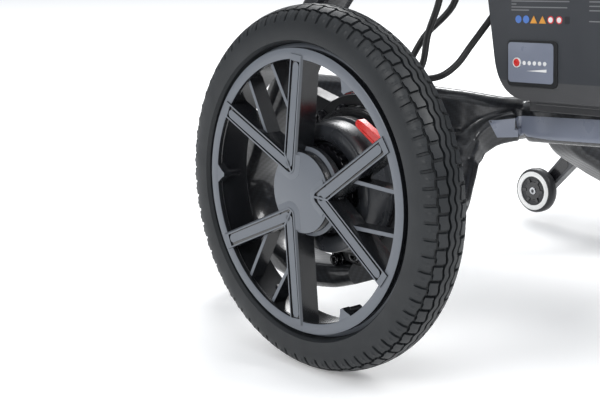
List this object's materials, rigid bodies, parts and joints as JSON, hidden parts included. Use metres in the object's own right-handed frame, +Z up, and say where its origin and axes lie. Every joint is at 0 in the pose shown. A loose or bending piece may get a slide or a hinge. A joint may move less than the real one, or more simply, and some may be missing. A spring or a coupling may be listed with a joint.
{
  "type": "electric golf trolley",
  "caption": "Three-wheeled electric golf trolley with a carbon frame, geared drive wheels, folding mast, bag cradles and lift-out battery.",
  "frame": {"origin": "on the floor, under the middle of the overall box", "axes": "+Y forward, towards the front wheel; +X to the trolley's right; +Z up"},
  "size_m": [0.6122, 0.9618, 0.9876],
  "materials": {
    "tyre": "satin rubber with moulded tread",
    "rim_paint": "satin blue-grey paint",
    "gloss_black": "gloss black",
    "steel": "brushed",
    "brass": "machined",
    "black_casting": "satin black powder coat",
    "cover_paint": "satin dark grey",
    "red_plastic": "gloss red",
    "carbon": "clear-coated carbon weave",
    "grey_metal": "satin grey",
    "roller_rubber": "satin",
    "battery_plastic": "fine satin texture",
    "panel": "semi-gloss blue-grey",
    "cable_rubber": "satin",
    "grip_rubber": "matt textured",
    "aluminium": "turned",
    "black_plastic": "satin",
    "white_trim": "semi-gloss white"
  },
  "bodies": {
    "frame": {"drive_housing_right": "black_casting", "drive_housing_left": "black_casting", "drive_cover_right": "cover_paint", "drive_cover_left": "cover_paint", "output_bearing_right": "steel", "output_bearing_left": "steel", "motor_right": "black_casting", "motor_left": "black_casting", "motor_clamp_right": "black_casting", "motor_clamp_left": "black_casting", "main_frame": "carbon", "side_loop_right": "carbon", "side_loop_left": "carbon", "diagonal_tube": "carbon", "battery_tray": "battery_plastic", "signal_cable": "cable_rubber", "motor_cable": "cable_rubber", "power_cable": "cable_rubber", "left_motor_cable": "cable_rubber", "mast_knuckle": "grey_metal", "hinge_pin": "steel", "lever_bracket": "grey_metal", "lower_cradle": "black_plastic", "bag_base": "black_plastic"},
    "wheel_right": {"tyre_right": "tyre", "rim_right": "rim_paint", "hub_ring_right": "gloss_black", "wheel_axle_right": "steel", "drive_gear_right": "steel"},
    "pinion_right": {"motor_pinion_right": "brass"},
    "release_right": {"release_tab_right": "red_plastic"},
    "stabiliser_right": {"antitip_arm_right": "grey_metal"},
    "roller_right": {"antitip_roller_right": "roller_rubber"},
    "lower_bag_arm_right": {"lower_arm_right": "black_plastic"},
    "upper_bag_arm_right": {"upper_arm_right": "black_plastic"},
    "wheel_left": {"tyre_left": "tyre", "rim_left": "rim_paint", "hub_ring_left": "gloss_black", "wheel_axle_left": "steel", "drive_gear_left": "steel"},
    "pinion_left": {"motor_pinion_left": "brass"},
    "release_left": {"release_tab_left": "red_plastic"},
    "stabiliser_left": {"antitip_arm_left": "grey_metal"},
    "roller_left": {"antitip_roller_left": "roller_rubber"},
    "lower_bag_arm_left": {"lower_arm_left": "black_plastic"},
    "upper_bag_arm_left": {"upper_arm_left": "black_plastic"},
    "battery": {"battery_case": "battery_plastic", "battery_panel": "panel"},
    "button": {"battery_button": "red_plastic"},
    "caster": {"caster_fork": "grey_metal"},
    "front_wheel": {"front_tyre": "tyre", "front_rim": "rim_paint"},
    "mast": {"upper_mast": "carbon", "handle_bar": "carbon", "grip_right": "grip_rubber", "grip_left": "grip_rubber", "console": "black_plastic", "upper_cradle": "black_plastic"},
    "latch": {"mast_lever": "red_plastic"},
    "dial": {"speed_dial": "aluminium"}
  },
  "joints": [
    {"name": "wheel_right_spin", "type": "hinge", "parent": "frame", "child": "wheel_right", "pos_m": [0.285, -0.0861, 0.135], "axis": [1, 0, 0], "continuous": true},
    {"name": "pinion_right_spin", "type": "hinge", "parent": "frame", "child": "pinion_right", "pos_m": [0.252, -0.11177, 0.10933], "axis": [1, 0, 0], "continuous": true},
    {"name": "release_right_tilt", "type": "hinge", "parent": "frame", "child": "release_right", "pos_m": [0.267, -0.0361, 0.172], "axis": [-1, 0, 0], "range_deg": [0, 30]},
    {"name": "stabiliser_right_fold", "type": "hinge", "parent": "frame", "child": "stabiliser_right", "pos_m": [0.23, -0.2341, 0.082], "axis": [-1, 0, 0], "range_deg": [0, 80]},
    {"name": "roller_right_spin", "type": "hinge", "parent": "stabiliser_right", "child": "roller_right", "pos_m": [0.208, -0.2776, 0.034], "axis": [1, 0, 0], "continuous": true},
    {"name": "lower_bag_arm_right_swing", "type": "hinge", "parent": "frame", "child": "lower_bag_arm_right", "pos_m": [0.0883, 0.22826, 0.3431], "axis": [0, 0.7071, -0.7071], "range_deg": [0, 50]},
    {"name": "upper_bag_arm_right_swing", "type": "hinge", "parent": "mast", "child": "upper_bag_arm_right", "pos_m": [0.0883, -0.12152, 0.75318], "axis": [0, 0.5736, -0.8192], "range_deg": [0, 50]},
    {"name": "wheel_left_spin", "type": "hinge", "parent": "frame", "child": "wheel_left", "pos_m": [-0.285, -0.0861, 0.135], "axis": [1, 0, 0], "continuous": true},
    {"name": "pinion_left_spin", "type": "hinge", "parent": "frame", "child": "pinion_left", "pos_m": [-0.252, -0.11177, 0.10933], "axis": [1, 0, 0], "continuous": true},
    {"name": "release_left_tilt", "type": "hinge", "parent": "frame", "child": "release_left", "pos_m": [-0.267, -0.0361, 0.172], "axis": [-1, 0, 0], "range_deg": [0, 30]},
    {"name": "stabiliser_left_fold", "type": "hinge", "parent": "frame", "child": "stabiliser_left", "pos_m": [-0.23, -0.2341, 0.082], "axis": [-1, 0, 0], "range_deg": [0, 80]},
    {"name": "roller_left_spin", "type": "hinge", "parent": "stabiliser_left", "child": "roller_left", "pos_m": [-0.208, -0.2776, 0.034], "axis": [1, 0, 0], "continuous": true},
    {"name": "lower_bag_arm_left_swing", "type": "hinge", "parent": "frame", "child": "lower_bag_arm_left", "pos_m": [-0.0883, 0.22826, 0.3431], "axis": [0, -0.7071, 0.7071], "range_deg": [0, 50]},
    {"name": "upper_bag_arm_left_swing", "type": "hinge", "parent": "mast", "child": "upper_bag_arm_left", "pos_m": [-0.0883, -0.12152, 0.75318], "axis": [0, -0.5736, 0.8192], "range_deg": [0, 50]},
    {"name": "mast_fold", "type": "hinge", "parent": "frame", "child": "mast", "pos_m": [0, -0.0201, 0.519], "axis": [-1, 0, 0], "range_deg": [0, 100]},
    {"name": "latch_open", "type": "hinge", "parent": "frame", "child": "latch", "pos_m": [0, -0.01833, 0.44157], "axis": [-1, 0, 0], "range_deg": [0, 70]},
    {"name": "caster_swivel", "type": "hinge", "parent": "frame", "child": "caster", "pos_m": [0, 0.4389, 0.23], "axis": [0, 0, 1], "continuous": true},
    {"name": "front_wheel_spin", "type": "hinge", "parent": "caster", "child": "front_wheel", "pos_m": [0, 0.4009, 0.08], "axis": [1, 0, 0], "continuous": true},
    {"name": "speed_dial_turn", "type": "hinge", "parent": "mast", "child": "dial", "pos_m": [0, -0.41345, 0.98061], "axis": [0, 0.0849, 0.9964], "range_deg": [-150, 150]},
    {"name": "battery_lift", "type": "slide", "parent": "frame", "child": "battery", "axis": [0, -0.0436, 0.999], "range_m": [0, 0.05]},
    {"name": "button_press", "type": "slide", "parent": "battery", "child": "button", "axis": [-1, 0, 0], "range_m": [0, 0.001], "stiffness_N_per_m": 600}
  ],
  "couplings": [
    {"joint": "pinion_right_spin", "follows": "wheel_right_spin", "ratio": -3},
    {"joint": "pinion_left_spin", "follows": "wheel_left_spin", "ratio": -3}
  ]
}
